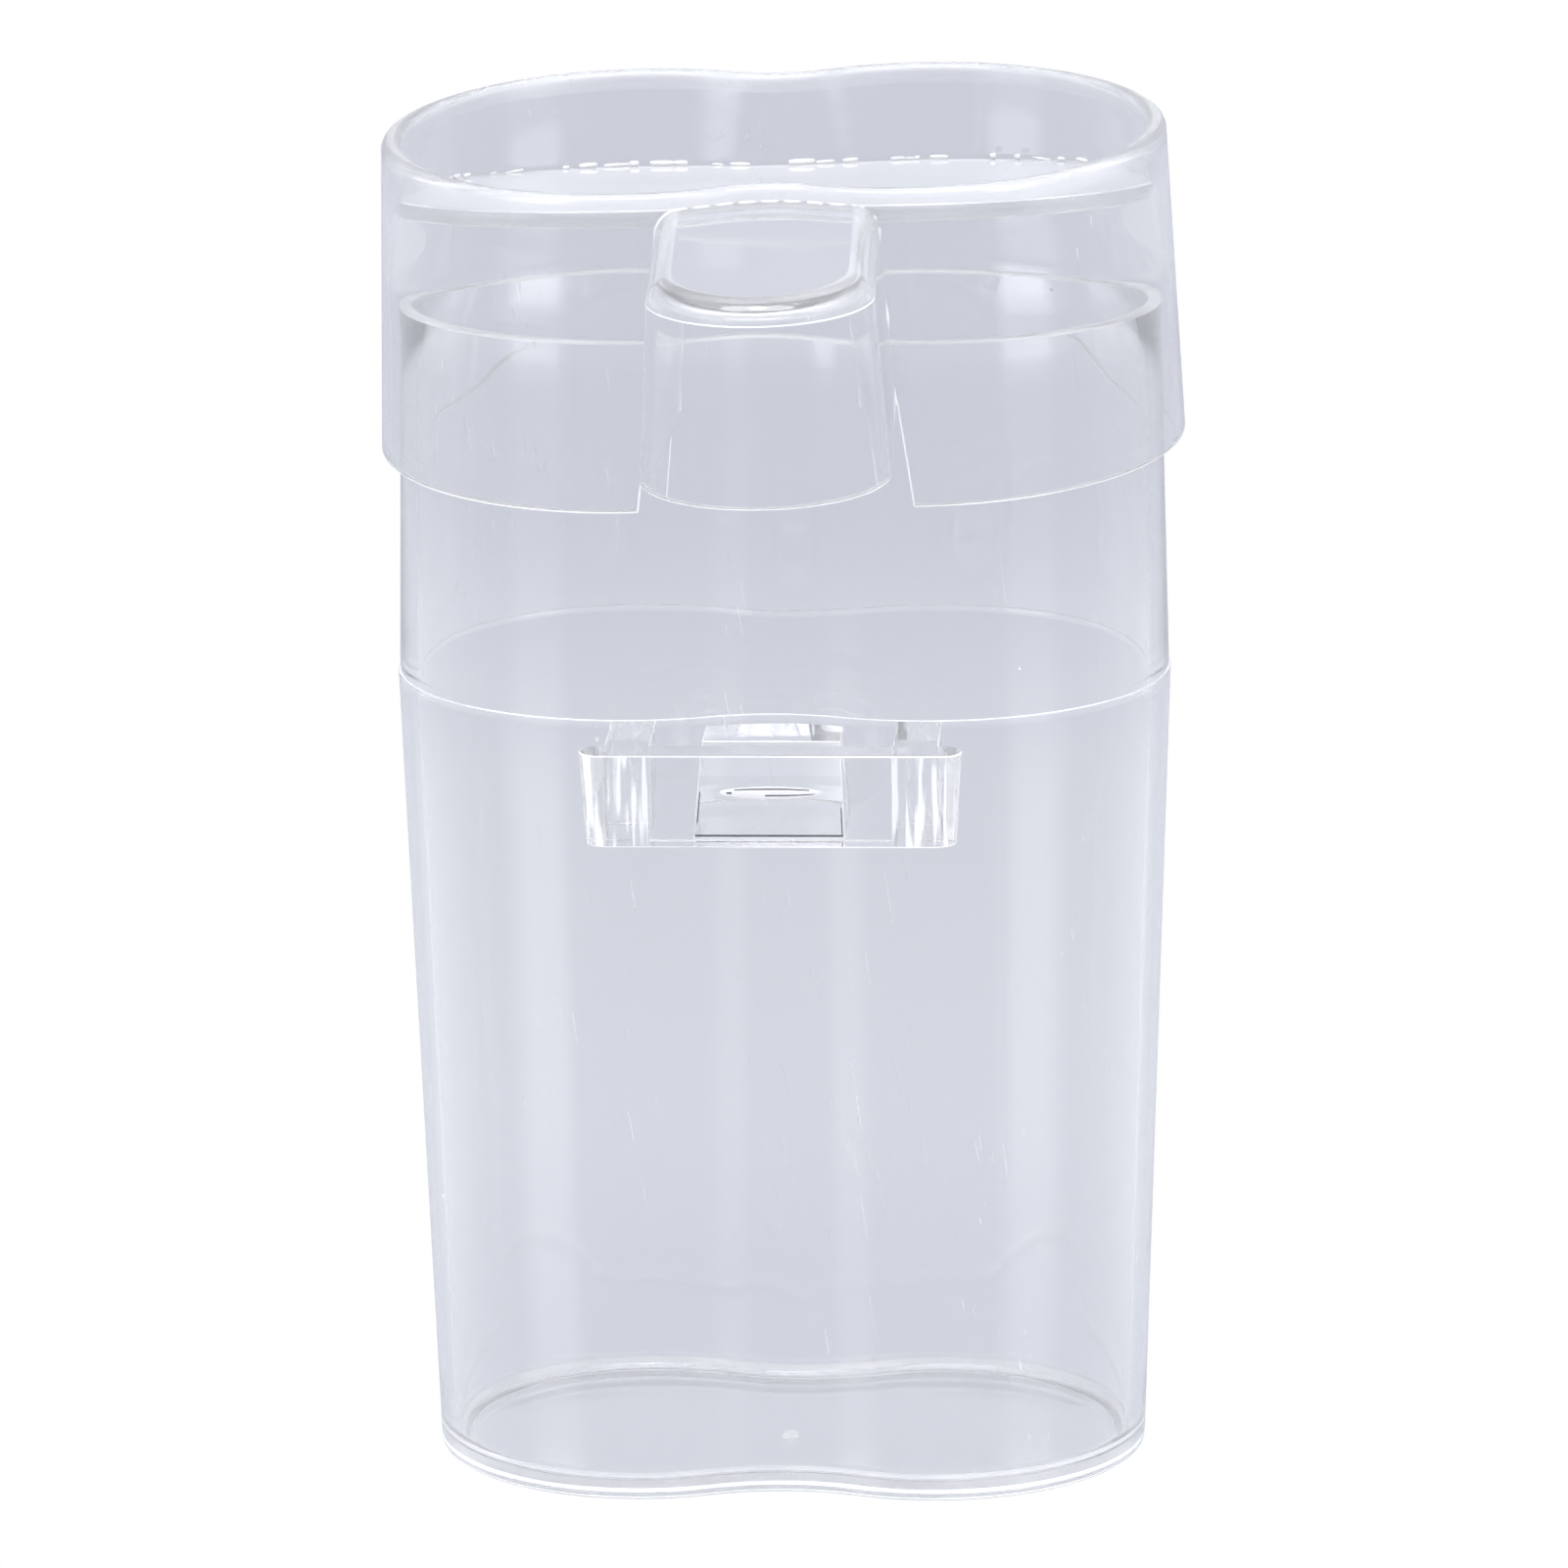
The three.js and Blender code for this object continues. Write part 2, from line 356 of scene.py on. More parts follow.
WHITE = (1.0, 1.0, 1.0)
DUST_SHARE = 0.3  # of the cells
SPECK_SHARE = 0.025
SPECK_GREY = (0.03, 0.03, 0.035, 1)
SCRATCH_STRENGTH = 0.25
RIPPLE_HEIGHT = 0.03 * MM


def clear_plastic(name, tint, haze, roughness, rim_haze=0.4, streaks=0.0):
    """Glossy clear moulding: a trace of haze, soft ripples, hairlines, dust and the odd dark speck."""
    mat = bpy.data.materials.new(name)
    mat.use_nodes = True
    shader = mat.node_tree.nodes["Principled BSDF"]
    graph = Graph(mat.node_tree)
    shader.inputs["IOR"].default_value = 1.49
    smear = graph.noise(graph.place((70, 70, 25)), 1.0)
    cloud = graph.step(smear, 0.4, 0.75)
    patch = graph.step(smear, 0.54, 0.64)
    hairline = graph.scratches(width=0.3 * MM, length=9 * MM, angle=0.15, rarity=0.8)
    scratch = graph.times(hairline, patch, SCRATCH_STRENGTH)

    cell = 11 * MM
    dust = graph.node("ShaderNodeTexVoronoi")
    graph.feed(dust.inputs["Vector"], graph.place((1 / cell,) * 3))
    dust.inputs["Scale"].default_value = 1.0
    chance = graph.node("ShaderNodeSeparateColor")
    graph.feed(chance.inputs[0], dust.outputs["Color"])
    size = graph.math("MULTIPLY_ADD", chance.outputs[1], 0.014, 0.008)
    spot = graph.math("LESS_THAN", dust.outputs["Distance"], size)
    white = graph.times(spot, graph.math("LESS_THAN", chance.outputs[0], DUST_SHARE), 0.8)
    dark = graph.times(spot, graph.math("GREATER_THAN", chance.outputs[0], 1 - SPECK_SHARE))

    colour = graph.node("ShaderNodeMix", data_type="RGBA")
    graph.feed(colour.inputs[0], dark)
    colour.inputs[6].default_value = (*tint, 1)
    colour.inputs[7].default_value = SPECK_GREY
    graph.feed(shader.inputs["Base Color"], colour.outputs[2])

    grazing = graph.node("ShaderNodeLayerWeight")
    grazing.inputs["Blend"].default_value = 0.25
    veil = graph.math("MULTIPLY_ADD", cloud, haze, haze)
    # Haze that grows towards grazing angles: partly the plastic's haze, partly painted light that whitens the
    # silhouettes.
    edge = graph.times(graph.math("POWER", grazing.outputs["Facing"], 1.6), rim_haze)
    marks = graph.add(veil, edge, scratch, white, dark)
    if streaks:
        grain = graph.noise(graph.place((1400, 1400, 110)), 1.0)
        marks = graph.add(marks, graph.times(graph.step(grain, 0.5, 0.62), streaks))
    graph.feed(shader.inputs["Transmission Weight"],
               graph.math("SUBTRACT", 1.0, graph.math("MINIMUM", marks, 1.0)))
    graph.feed(shader.inputs["Roughness"], graph.math("MULTIPLY_ADD", cloud, 0.03, roughness))

    bump = graph.node("ShaderNodeBump")
    bump.inputs["Strength"].default_value = 1.0
    bump.inputs["Distance"].default_value = RIPPLE_HEIGHT
    graph.feed(bump.inputs["Height"], graph.noise(graph.place((55, 55, 25), offset=(0.3, 0.2, 0.1)), 0.0))
    graph.feed(shader.inputs["Normal"], bump.outputs[0])
    return mat


# ---------------------------------------------------------------- vessel


def vessel_profile():
    """The vessel's wall as (inset from the parting-line outline, z), from the base up and down the inside."""

    def outer(z):
        if z <= parting_z:
            return base_inset * (1 - z / parting_z)
        share = (z - parting_z) / (vessel_height - parting_z)
        return lerp(parting_step, neck_inset, share)

    def inner(z):
        if z <= parting_z:
            return lerp(base_inset + floor_wall, belly_inset, (z - vessel_floor) / (parting_z - vessel_floor))
        return lerp(belly_inset, mouth_inset, (z - parting_z) / (vessel_height - parting_z))

    points = corner((outer(base_round) + base_round, base_round), base_round, 270, 180, 6)
    points += [(outer(z), z) for z in (base_line_z, base_line_z + base_fade, 10, 25, 40, 55, 68, 75)]
    points += [(0.0, parting_z - 0.12), (0.03, parting_z - 0.02), (parting_step, parting_z + 0.06)]
    points += [(outer(z), z) for z in (78, 88, 98, 106)]
    top = vessel_height - mouth_round
    points += corner((outer(top) + mouth_round, top), mouth_round, 180, 90, 4)
    points += corner((mouth_inset - mouth_round, top), mouth_round, 90, 0, 4)
    points += [(inner(z), z) for z in (104, 92, parting_z, 60, 45, 30, 15, 8)]
    fillet_z = vessel_floor + floor_round
    fillet = inner(fillet_z)
    points += corner((fillet + floor_round, fillet_z), floor_round, 180, 270, 8)
    return points


def vessel_paint(k, profile):
    """Finish of the band between profile points k and k + 1: hazy bands that partly stand in for painted
    highlights at the base, the floor fillet, the parting line and the mouth, and one grey painted shade line
    at the foot of the base.
    """
    base_paints = (CLEAR, PAINTED_SHADE, RIM, EDGE, RIM, RIM, EDGE, RIM)
    fillet_paints = (RIM, RIM, EDGE, EDGE, RIM, RIM, RIM, EDGE)
    first_fillet = len(profile) - 1 - len(fillet_paints)
    if k < len(base_paints):
        return base_paints[k]
    if k >= first_fillet:
        return fillet_paints[k - first_fillet]
    inset = (profile[k][0] + profile[k + 1][0]) / 2
    z = (profile[k][1] + profile[k + 1][1]) / 2
    if z > vessel_height - mouth_round:
        return EDGE
    if inset < belly_inset / 2 and abs(z - parting_z) < 0.1:
        return EDGE if z > parting_z else RIM
    return CLEAR


def add_vessel(material):
    build = Build()
    count = 320
    profile = vessel_profile()
    rows = [build.row(Plan(vessel_plan, inset).ring(z, count)) for inset, z in profile]
    for k in range(len(rows) - 1):
        build.paint = vessel_paint(k, profile)
        build.band(rows[k], rows[k + 1], closed=True)
    build.paint = CLEAR

    edge = [build.points[i] for i in rows[-1]]
    spot = []
    for i in range(count):
        a = 2 * math.pi * i / count
        spot.append((gate_radius * math.sin(a), gate_y - gate_radius * math.cos(a), vessel_floor))
    previous = rows[-1]
    for t in (0.35, 0.75, 1.0):
        row = build.row([tuple(lerp(a, b, t) for a, b in zip(p, q)) for p, q in zip(edge, spot)])
        build.band(previous, row, closed=True)
        previous = row
    build.paint = EDGE
    crown_z = vessel_floor + gate_height
    crown = build.row([(x * gate_crown, lerp(gate_y, y, gate_crown), crown_z) for x, y, _ in spot])
    build.band(previous, crown, closed=True)
    build.fan(crown, (0, gate_y, crown_z))
    build.paint = CLEAR
    flat = build.row(Plan(vessel_plan, profile[0][0] + flat_border).ring(0, count))
    build.band(flat, rows[0], closed=True)
    build.add(reversed(flat))
    return build.piece("vessel_shell", "vessel", ["vessel"], material)


# ---------------------------------------------------------------- bracket


def add_bracket(material):
    """Cross plate with half-round ends and the two posts that carry it, drafted like one moulding."""
    low, high = bracket_bottom_z, parting_z
    build = Build()
    end = plate_thickness / 2
    centre_y = plate_front_y + end
    steps = 24
    post_outer_x = post_inner_x + post_width

    def level(z):
        wall = Plan(vessel_plan, base_inset * (1 - z / parting_z) - seam)
        centre_x = plate_length / 2 - end - plate_draft * (high - z) / (high - low)
        right = [(post_inner_x, plate_front_y)]
        right += [(centre_x + end * math.cos(a), centre_y + end * math.sin(a))
                  for a in (math.pi * (i / steps - 0.5) for i in range(steps + 1))]
        foot = [lerp(post_outer_x, post_inner_x, i / 8) for i in range(9)]
        right += [(post_outer_x, plate_back_y)]
        right += [(x, wall.front_y(x)) for x in foot]
        right += [(post_inner_x, plate_back_y)]
        left = [(-x, y) for x, y in reversed(right)]
        return [(x + bracket_x, y, z) for x, y in right + left]

    def finish(point, following):
        """Frosted post sides, streaked plate ends, and clear between the posts."""
        (x0, y0), (x1, y1) = point[:2], following[:2]
        if abs(x1 - x0) < 0.3 * abs(y1 - y0) and min(y0, y1) > plate_back_y - 0.1:
            return RIM
        return STREAK if abs((x0 + x1) / 2 - bracket_x) > post_inner_x else CLEAR

    rows = [build.row(level(lerp(low, high, i / 3))) for i in range(4)]
    for lower, upper in zip(rows, rows[1:]):
        for i in range(len(lower)):
            j = (i + 1) % len(lower)
            build.paint = finish(build.points[lower[i]], build.points[lower[j]])
            build.add((lower[i], lower[j], upper[j], upper[i]))
    build.paint = CLEAR
    build.add(reversed(rows[0]))
    build.add(rows[-1])
    nodes = ["bracket_plate", "bracket_post_left", "bracket_post_right"]
    return build.piece("bracket_moulding", "vessel", nodes, material, bevel=bracket_bevel)


def add_wedge(material):
    """Ramp that widens and comes forward towards its foot, with shadow lines near its edges."""
    build = Build()
    rows = []
    for t in (0, 0.025, 0.045, 0.17, 0.33, 0.5, 0.67, 0.83, 1):
        shape = blend(wedge_bottom, wedge_top, t)
        half, front, z = shape["half"], shape["front"], shape["z"]
        wall = Plan(vessel_plan, base_inset * (1 - z / parting_z) - seam)
        back = [lerp(half, -half, i / 16) for i in range(17)]
        start, end = flank_strip
        line = [-half, start - half, end - half, half - end, half - start, half]
        plan = [(x, front) for x in line] + [(x, wall.front_y(x)) for x in back]
        rows.append(build.row([(x + wedge_x, y, z) for x, y in plan]))

    underline = {(1, 1), (1, 2), (1, 3)}  # (level, column) of the front's narrow strips
    left_flank = {(3, 1), (4, 1)}
    right_flank = {(2, 3), (3, 3)}
    shadows = underline | left_flank | right_flank
    for k in range(len(rows) - 1):
        for i in range(len(rows[k])):
            j = (i + 1) % len(rows[k])
            build.paint = DARK if (k, i) in shadows else CLEAR
            build.add((rows[k][i], rows[k][j], rows[k + 1][j], rows[k + 1][i]))
    build.paint = CLEAR
    build.add(reversed(rows[0]))
    build.add(rows[-1])
    return build.piece("wedge_catch_moulding", "vessel", ["wedge_catch"], material,
                       bevel=bracket_bevel)


def add_crease(material):
    """Lens-shaped sink mark that stands a hair proud of the wedge's sloping front, painted white with
    near-black painted shade lines that stand in for its highlight and shadow.
    """
    build = Build()
    height = wedge_top["z"] - wedge_bottom["z"]
    front = blend(wedge_bottom, wedge_top, (crease_z - wedge_bottom["z"]) / height)["front"] - crease_gap
    slope = (wedge_top["front"] - wedge_bottom["front"]) / height
    count, levels = 40, 8
    shadow_spans = {7: (-0.75, 0.75), 3: (-0.1, 0.85), 4: (-0.9, -0.75), 5: (-0.9, -0.75)}  # by level
    rows = []
    for k in range(levels + 1):
        v = 2 * k / levels - 1
        row = []
        for i in range(count + 1):
            u = 2 * i / count - 1
            lens = math.sqrt(max(0.0, 1 - u * u))
            dz = v * crease_height / 2 * lens
            swell = crease_swell * (1 - v * v) * lens
            row.append((u * crease_half + crease_x, front + slope * dz - swell, crease_z + dz))
        rows.append(build.row(row))
    for k in range(1, levels + 1):
        first = len(build.paints)
        build.band(rows[k - 1], rows[k])
        start, end = shadow_spans.get(k, (0, 0))
        for i in range(count):
            build.paints[first + i] = DARK if start < 2 * i / count - 1 < end else EDGE
    return build.piece("wedge_crease", "vessel", [], material)


# ---------------------------------------------------------------- cap

cap_frame = Matrix.Translation((0, 0, seat_z * MM))
for axis, angle in (("Z", cap_yaw), ("Y", cap_roll), ("X", cap_pitch)):
    cap_frame = cap_frame @ Matrix.Rotation(angle, 4, axis)


def hood_plan(z):
    return blend(hood_bottom, hood_top, (z - hood_bottom["z"]) / (hood_top["z"] - hood_bottom["z"]))


def side_half(z):
    """Half-width of the cut-out below the hood, and of the hood's outside above its lower edge."""
    if z >= hood_bottom["z"]:
        return hood_plan(z)["half"]
    return lerp(cutout_half, hood_bottom["half"], (z - skirt_z) / (hood_bottom["z"] - skirt_z))


def sleeve_wall(z):
    t = min(max((z - shoulder_low_z) / (shoulder_high_z - shoulder_low_z), 0), 1)
    return lerp(skirt_wall, rim_wall, t * t * (3 - 2 * t))


def add_sleeve(material):
    """Two skins stitched along the rim, the skirt, and the edges of the window and cut-out."""
    build = Build()
    around, flank, front = 260, 3, 26
    sill, head = hood_bottom["z"], window_top_z

    def columns(z, inset):
        """Points of one level: right flank, the long way round, left flank, front."""
        outer = Plan(cap_plan(z))
        wide = outer.s_at_x(side_half(z))
        narrow = outer.s_at_x(side_half(z) - hood_wall)
        total = outer.length
        stops = [lerp(narrow, wide, i / flank) for i in range(flank)]
        stops += [lerp(wide, total - wide, i / around) for i in range(around)]
        stops += [lerp(total - wide, total - narrow, i / flank) for i in range(flank + 1)]
        stops += [lerp(-narrow, narrow, (i + 1) / (front + 1)) for i in range(front)]
        points = []
        for s in stops:
            (x, y), (nx, ny) = outer.at(s)
            points.append((x - nx * inset, y - ny * inset, z))
        return points

    levels = [skirt_z, -6.5, -4.5, -2.0, 0.0, 1.2]
    levels += [sill, 3.4, 6, 8.8, 10, 11, 12, 13.5, 15, 16.5]
    levels += [head, 19, 20.2]
    sill_at, head_at = levels.index(sill), levels.index(head)
    outer = [build.row(columns(z, 0)) for z in levels]
    inner = [build.row(columns(z, sleeve_wall(z))) for z in levels]
    round_z = rim_z - rim_round
    outer_arc = corner((rim_round, round_z), rim_round, 180, 90, 6)
    inner_arc = corner((rim_wall - rim_round, round_z), rim_round, 0, 90, 6)
    outer += [build.row(columns(z, inset)) for inset, z in outer_arc]
    inner += [build.row(columns(z, inset)) for inset, z in inner_arc]

    lower = slice(flank, flank + around + 1)
    middle = slice(0, 2 * flank + around + 1)
    # The rim's rounding is painted as a frosted light band, partly a painted highlight.
    for k in range(len(outer) - 1):
        build.paint = RIM if k >= len(levels) - 1 else CLEAR
        if k < sill_at:
            part, closed = lower, False
        elif k < head_at:
            part, closed = middle, False
        else:
            part, closed = slice(None), True
        build.band(outer[k][part], outer[k + 1][part], closed)
        build.band(inner[k + 1][part], inner[k][part], closed)
    build.band(outer[-1], inner[-1], True)
    # The skirt's lower edge is painted as a thin highlight.
    build.paint = EDGE
    build.band(inner[0][lower], outer[0][lower])

    def edge(column, rows, right):
        """Closes the wall's thickness up one side of the opening."""
        for k in rows:
            a, b, c, d = outer[k][column], outer[k + 1][column], inner[k + 1][column], inner[k][column]
            build.add((a, b, c, d) if right else (d, c, b, a))

    last = flank + around
    edge(flank, range(sill_at), True)
    edge(last, range(sill_at), False)
    edge(0, range(sill_at, head_at), True)
    edge(last + flank, range(sill_at, head_at), False)
    build.band(outer[sill_at][: flank + 1][::-1], inner[sill_at][: flank + 1][::-1])
    build.band(outer[sill_at][last:][: flank + 1][::-1], inner[sill_at][last:][: flank + 1][::-1])
    over = outer[head_at][last + flank:] + [outer[head_at][0]]
    under = inner[head_at][last + flank:] + [inner[head_at][0]]
    build.band(under, over)
    return build.piece("cap_sleeve_shell", "cap", ["cap_sleeve"], material, cap_frame,
                       bevel=sleeve_bevel, sharp=50)


def add_hood(material):
    """Roofed hood with a round front: two skins joined along the lower edge and against the sleeve."""
    build = Build()
    side_steps, front_steps, back_steps = 12, 96, 30
    wall_steps = 8

    def u_curve(z, inset, extra):
        """U-shaped level from the sleeve on the right, round the front, to the sleeve on the left."""
        plan = hood_plan(min(z, hood_top["z"]))
        half = plan["half"] - inset - extra
        front_y = plan["front"] + inset + extra
        bow = plan["bow"]
        outer = Plan(cap_plan(z), -seam)
        root = outer.front_y(half)
        centre = front_y + bow
        points = [(half, lerp(root, centre, i / side_steps), z) for i in range(side_steps)]
        for i in range(front_steps + 1):
            a = -math.pi * i / front_steps
            points.append((half * math.cos(a), centre + bow * math.sin(a), z))
        points += [(-half, lerp(centre, root, (i + 1) / side_steps), z) for i in range(side_steps)]
        return points

    def levels(top, fillet):
        """(z, extra inset) up the wall and over the rounding into the roof."""
        wall = [(lerp(hood_bottom["z"], top - fillet, i / wall_steps), 0.0) for i in range(wall_steps)]
        turn = [a * DEG for a in [0, 4] + list(range(10, 91, 10))]
        return wall + [(top - fillet * (1 - math.sin(a)), fillet * (1 - math.cos(a))) for a in turn]

    skins = []
    outside = (0, hood_top["z"], hood_round)
    inside = (hood_wall, hood_top["z"] - hood_roof_wall, hood_inner_round)
    for inset, top, fillet in (outside, inside):
        rows = [build.row(u_curve(z, inset, extra)) for z, extra in levels(top, fillet)]
        half = build.points[rows[-1][-1]][0]
        plan = Plan(cap_plan(top), -seam)
        back = [lerp(half, -half, (i + 1) / (back_steps + 1)) for i in range(back_steps)]
        back_row = build.row([(x, plan.front_y(x), top) for x in back])
        skins.append((rows, back_row))
    (outer, outer_back), (inner, inner_back) = skins
    # The foot of the outer rounding is painted as a thin highlight; its upper part and the whole inner
    # rounding are painted as hazy light bands.
    foot_of_rounding, late_rounding = wall_steps, wall_steps + 7
    for k in range(len(outer) - 1):
        build.paint = EDGE if k == foot_of_rounding else RIM if k >= late_rounding else CLEAR
        build.band(outer[k + 1], outer[k])
        build.paint = RIM if k >= foot_of_rounding else CLEAR
        build.band(inner[k], inner[k + 1])

    def close_top(ring, back, up):
        """Closes a skin's top with a narrow border, so that the flat inside it shades flat."""
        loop = ring + back
        middle_y = sum(build.points[i][1] for i in loop) / len(loop)
        border = []
        for x, y, z in (build.points[i] for i in loop):
            border.append((lerp(x, 0, roof_border), lerp(y, middle_y, roof_border), z))
        flat = build.row(border)
        first_back = len(ring)
        for i in range(len(loop)):
            j = (i + 1) % len(loop)
            # The roof's back border is painted grey, a painted shade line.
            build.paint = PAINTED_SHADE if up and first_back <= i < len(loop) - 1 else CLEAR
            face = (loop[i], loop[j], flat[j], flat[i])
            build.add(reversed(face) if up else face)
        build.paint = CLEAR
        build.add(reversed(flat) if up else flat)

    close_top(outer[-1], outer_back, True)
    close_top(inner[-1], inner_back, False)
    build.paint = EDGE
    build.band(outer[0], inner[0])

    def boundary(rows, back_row):
        left_down = [row[-1] for row in reversed(rows)]
        right_up = [row[0] for row in rows]
        return right_up + list(reversed(back_row)) + left_down

    build.band(boundary(outer, outer_back), boundary(inner, inner_back))
    return build.piece("cap_hood_moulding", "cap", ["cap_hood"], material, cap_frame,
                       bevel=hood_bevel, sharp=50)


def add_top_plate(material):
    """Sloping plate with chamfered edges that fills the sleeve's inside all the way round."""
    build = Build()
    count = 240
    drop = math.tan(plate_slope)

    def ring(depth, inset):
        points = []
        for i in range(count):
            z = top_plate_z - depth
            for _ in range(3):  # height and outline depend on each other
                plan = Plan(cap_plan(z), rim_wall + seam + inset)
                (x, y), _normal = plan.at(plan.length * i / count)
                z = top_plate_z - depth - drop * y
            points.append((x, y, z))
        return points

    soft = top_plate_chamfer
    profile = ((top_plate_thickness, soft), (top_plate_thickness - soft, 0), (soft, 0), (0, soft))
    rows = [build.row(ring(depth, inset)) for depth, inset in profile]
    # Chamfers painted as thin highlights, and the edge between them as a hazy light band.
    for low, high, paint in zip(rows, rows[1:], (EDGE, RIM, EDGE)):
        build.paint = paint
        build.band(low, high, closed=True)
    build.paint = CLEAR
    build.add(reversed(rows[0]))
    build.add(rows[-1])
    return build.piece("cap_top_web", "cap", ["cap_top_plate"], material, cap_frame)


def add_weld_flash(material):
    """Small beads of flash where the web meets the back of the sleeve."""
    build = Build()
    build.paint = EDGE
    chance = random.Random(weld_seed)
    plan = Plan(cap_plan(top_plate_z), rim_wall)
    drop = math.tan(plate_slope)
    up = Vector((0, 0, 1))
    steps, sides = 8, 10

    def bead(centre, along, inward, long, thick):
        """One bead, pointed at both ends and round across."""
        rings = []
        for j in range(1, steps):
            a = math.pi * j / steps
            width = math.sin(a) ** 0.5 * thick * 0.5
            point = centre + along * (-math.cos(a) * long / 2)
            turns = [2 * math.pi * k / sides for k in range(sides)]
            ring = [point + inward * (width * math.cos(b)) + up * (width * math.sin(b)) for b in turns]
            rings.append(build.row(ring))
        build.bands(rings, closed=True)
        build.fan(list(reversed(rings[0])), centre - along * (long / 2))
        build.fan(rings[-1], centre + along * (long / 2))

    back_middle = plan.quarter * 2
    s = back_middle - weld_half_length
    while s < back_middle + weld_half_length:
        long = chance.uniform(*weld_length)
        thick = chance.uniform(*weld_thickness)
        (x, y), (nx, ny) = plan.at(s)
        centre = Vector((x - nx * thick * 0.6, y - ny * thick * 0.6, 0))
        centre.z = top_plate_z - drop * centre.y + thick * 0.5
        bead(centre, Vector((-ny, nx, 0)), Vector((-nx, -ny, 0)), long, thick)
        least, spread = weld_gap
        s += long + least + spread * chance.random() ** 3
    return build.piece("cap_weld_flash", "cap", [], material, cap_frame)


body_plastic = clear_plastic("clear_body_plastic", WHITE, haze=0.006, roughness=0.02, rim_haze=0.5)
bracket_plastic = clear_plastic("clear_bracket_plastic", WHITE, haze=0.004, roughness=0.01, rim_haze=0.15)
cap_plastic = clear_plastic("clear_cap_plastic", WHITE, haze=0.009, roughness=0.02)
# Hazy white finish for bevels, edges and thin lines, partly standing in for painted highlights along the
# edges.
haze_and_painted_highlight = clear_plastic("worn_edge_plastic", WHITE, haze=0.5, roughness=0.2, rim_haze=0.2)
# Frosted finish for rims, roundings and fillets, partly painted as soft light bands that stand in for
# highlights.
frost_and_painted_light = clear_plastic("frosted_rim_plastic", WHITE, haze=0.1, roughness=0.12, rim_haze=0.1)
shadow_line = clear_plastic("crease_shadow", (0.02, 0.02, 0.025), haze=0.9, roughness=0.1)
streaked = clear_plastic("streaked_plastic", WHITE, haze=0.02, roughness=0.02, rim_haze=0.3, streaks=0.45)
# Grey painted shade lines, at the foot of the base and along the back of the hood's roof.
painted_shade_line = clear_plastic("smudged_plastic", (0.6, 0.61, 0.65), haze=0.03, roughness=0.05)
hood_plastic = clear_plastic("clear_hood_plastic", WHITE, haze=0.009, roughness=0.02, rim_haze=0.1)

add_vessel(body_plastic)
add_bracket(bracket_plastic)
add_wedge(bracket_plastic)
add_crease(bracket_plastic)
add_sleeve(cap_plastic)
add_hood(hood_plastic)
add_top_plate(cap_plastic)
add_weld_flash(cap_plastic)


# ---------------------------------------------------------------- stage, light and camera

backdrop_grey = (0.66, 0.685, 0.76, 1)
bank_white = (0.97, 0.98, 1.0, 1)
fill_light = 1.6
fill_blue = (0.93, 0.95, 1.0, 1)
camera_turn = 3.08 * DEG

bank_turns = {"front": 54 * DEG, "back": 126 * DEG}  # each side of the camera
bank_halves = {"front": 9 * DEG, "back": 11 * DEG}
bank_softness = {"front": 12 * DEG, "back": 9 * DEG}
bank_strengths = {"front": 1.0, "back": 0.3}
bank_base_strength = 0.6
bank_foot_strength = 3.0  # of the banks' feet, which are seen only steeply downwards through the floor
overhead_strength = 1.3
lamp_turns = (-45 * DEG, 27 * DEG)
lamp_height = 75 * DEG
lamp_strength = 6.0
horizon_dip = -0.05
horizon_dip_z = -0.232

floor_half = 1.5  # metres
floor_grey = (0.58, 0.603, 0.685, 1)
near_shade = 0.4
near_fade = (0.12, 0.04)  # metres from the middle: no shade, full shade
far_fade = (0.27, 0.38)


def white_to_camera(graph, other, output):
    """White where the camera looks straight at the stage, and another shader for every other ray."""
    path = graph.node("ShaderNodeLightPath")
    scattered = graph.math("GREATER_THAN", path.outputs["Diffuse Depth"], 0.5)
    to_camera = path.outputs["Is Camera Ray"]
    for share, strength, colour in ((scattered, fill_light, fill_blue), (to_camera, 1.0, (1, 1, 1, 1))):
        white = graph.node("ShaderNodeEmission")
        white.inputs["Color"].default_value = colour
        white.inputs["Strength"].default_value = strength
        mix = graph.node("ShaderNodeMixShader")
        graph.feed(mix.inputs[0], share)
        graph.feed(mix.inputs[1], other)
        graph.feed(mix.inputs[2], white.outputs[0])
        other = mix.outputs[0]
    graph.feed(output.inputs["Surface"], other)


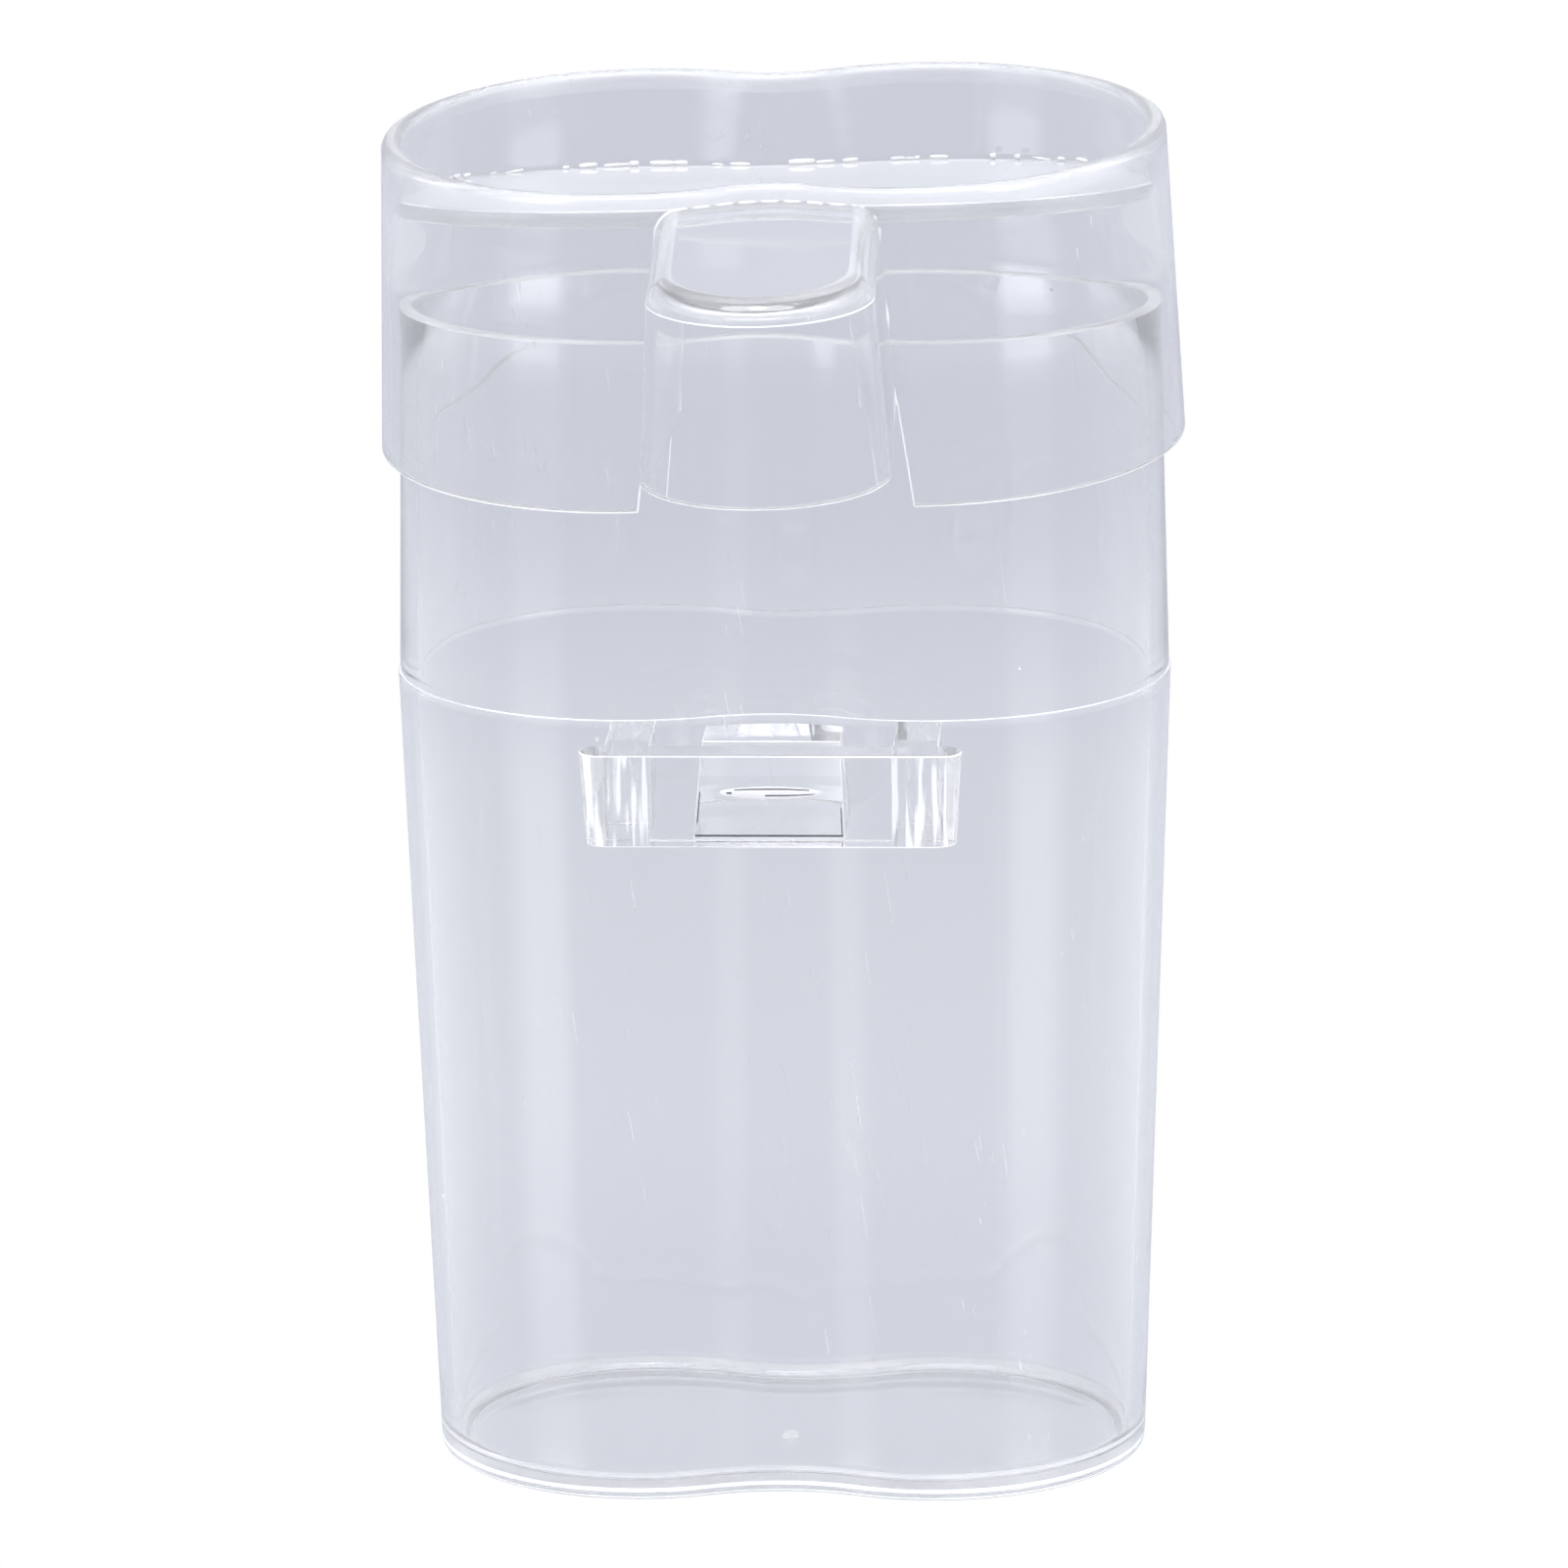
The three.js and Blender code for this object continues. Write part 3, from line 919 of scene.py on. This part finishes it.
def add_world():
    """A pale studio: grey all round, with soft upright light banks and a soft light overhead."""
    world = bpy.data.worlds.new("studio")
    bpy.context.scene.world = world
    world.use_nodes = True
    world.node_tree.nodes.clear()
    graph = Graph(world.node_tree)
    split = graph.node("ShaderNodeSeparateXYZ")
    graph.feed(split.inputs[0], graph.node("ShaderNodeTexCoord").outputs["Generated"])
    x, y, z = split.outputs
    azimuth = graph.math("ARCTAN2", x, graph.times(y, -1))

    def window(value, centre, half, soft):
        return graph.step(graph.math("ABSOLUTE", graph.math("SUBTRACT", value, centre)), half + soft, half)

    def bank_pair(side):
        turn = bank_turns[side]
        pair = [window(azimuth, camera_turn + centre, bank_halves[side], bank_softness[side])
                for centre in (turn, -turn)]
        return graph.times(graph.add(*pair), bank_strengths[side])

    banks = graph.add(bank_pair("front"), bank_pair("back"))
    foot = graph.step(z, -0.4, -0.48)
    strength = graph.math("MULTIPLY_ADD", foot, bank_foot_strength - bank_base_strength, bank_base_strength)
    upright = graph.times(banks, window(z, 0.1, 0.7, 0.15), strength)
    glow = graph.add(upright, graph.times(graph.step(z, 0.5, 0.8), overhead_strength))
    reach = math.cos(lamp_height)
    for turn in lamp_turns:
        toward = (math.sin(turn) * reach, -math.cos(turn) * reach, math.sin(lamp_height))
        nearness = graph.add(*(graph.times(part, share) for part, share in zip((x, y, z), toward)))
        glow = graph.add(glow, graph.times(graph.step(nearness, 0.965, 0.985), lamp_strength))
    mix = graph.node("ShaderNodeMix", data_type="RGBA", blend_type="ADD", clamp_factor=False)
    graph.feed(mix.inputs[0], glow)
    mix.inputs[6].default_value = backdrop_grey
    mix.inputs[7].default_value = bank_white
    light = graph.node("ShaderNodeBackground")
    graph.feed(light.inputs[0], mix.outputs[2])
    dim = window(z, horizon_dip_z, 0.01, 0.04)
    graph.feed(light.inputs[1], graph.math("MULTIPLY_ADD", dim, horizon_dip, 1.0))
    white_to_camera(graph, light.outputs[0], graph.node("ShaderNodeOutputWorld"))


def add_floor():
    """White to the camera; seen through the object it is shaded near the base and far away from it."""
    mesh = bpy.data.meshes.new("floor")
    corners = [(i * floor_half, j * floor_half, 0) for i, j in ((-1, -1), (1, -1), (1, 1), (-1, 1))]
    mesh.from_pydata(corners, [], [(0, 1, 2, 3)])
    floor = bpy.data.objects.new("floor", mesh)
    floor.location.z = -0.0002
    bpy.context.scene.collection.objects.link(floor)
    mat = bpy.data.materials.new("floor_white")
    mat.use_nodes = True
    mat.node_tree.nodes.clear()
    graph = Graph(mat.node_tree)
    length = graph.node("ShaderNodeVectorMath", operation="LENGTH")
    graph.feed(length.inputs[0], graph.place())
    near = graph.step(length.outputs["Value"], *near_fade)
    far = graph.step(length.outputs["Value"], *far_fade)
    shade = graph.node("ShaderNodeEmission")
    shade.inputs[0].default_value = floor_grey
    clear = graph.node("ShaderNodeBsdfTransparent")
    mix = graph.node("ShaderNodeMixShader")
    graph.feed(mix.inputs[0], graph.add(graph.times(near, near_shade), far))
    graph.feed(mix.inputs[1], clear.outputs[0])
    graph.feed(mix.inputs[2], shade.outputs[0])
    white_to_camera(graph, mix.outputs[0], graph.node("ShaderNodeOutputMaterial"))
    mesh.materials.append(mat)


def add_camera():
    """Long lens, a little above the middle, turned a little to the object's right."""
    distance = 974.1 * MM
    pitch = 14.6 * DEG
    tilt = 0.68 * DEG
    aim = Vector((-0.17, 0, 64.1)) * MM
    back = Vector((0, -math.cos(pitch), math.sin(pitch)))
    right = Vector((1, 0, 0))
    up = back.cross(right)
    across = right * math.cos(tilt) - up * math.sin(tilt)
    upright = up * math.cos(tilt) + right * math.sin(tilt)
    basis = Matrix((across, upright, back)).transposed().to_4x4()
    data = bpy.data.cameras.new("camera")
    data.lens = 239.2
    data.sensor_width = 36
    data.clip_end = 20
    camera = bpy.data.objects.new("camera", data)
    bpy.context.scene.collection.objects.link(camera)
    place = Matrix.Translation(aim + back * distance) @ basis
    camera.matrix_world = Matrix.Rotation(camera_turn, 4, "Z") @ place
    bpy.context.scene.camera = camera


add_world()
add_floor()
add_camera()

scene = bpy.context.scene
scene.view_settings.view_transform = "Standard"
scene.cycles.max_bounces = 64
scene.cycles.transmission_bounces = 64
scene.cycles.glossy_bounces = 64
scene.cycles.diffuse_bounces = 32
scene.cycles.transparent_max_bounces = 40
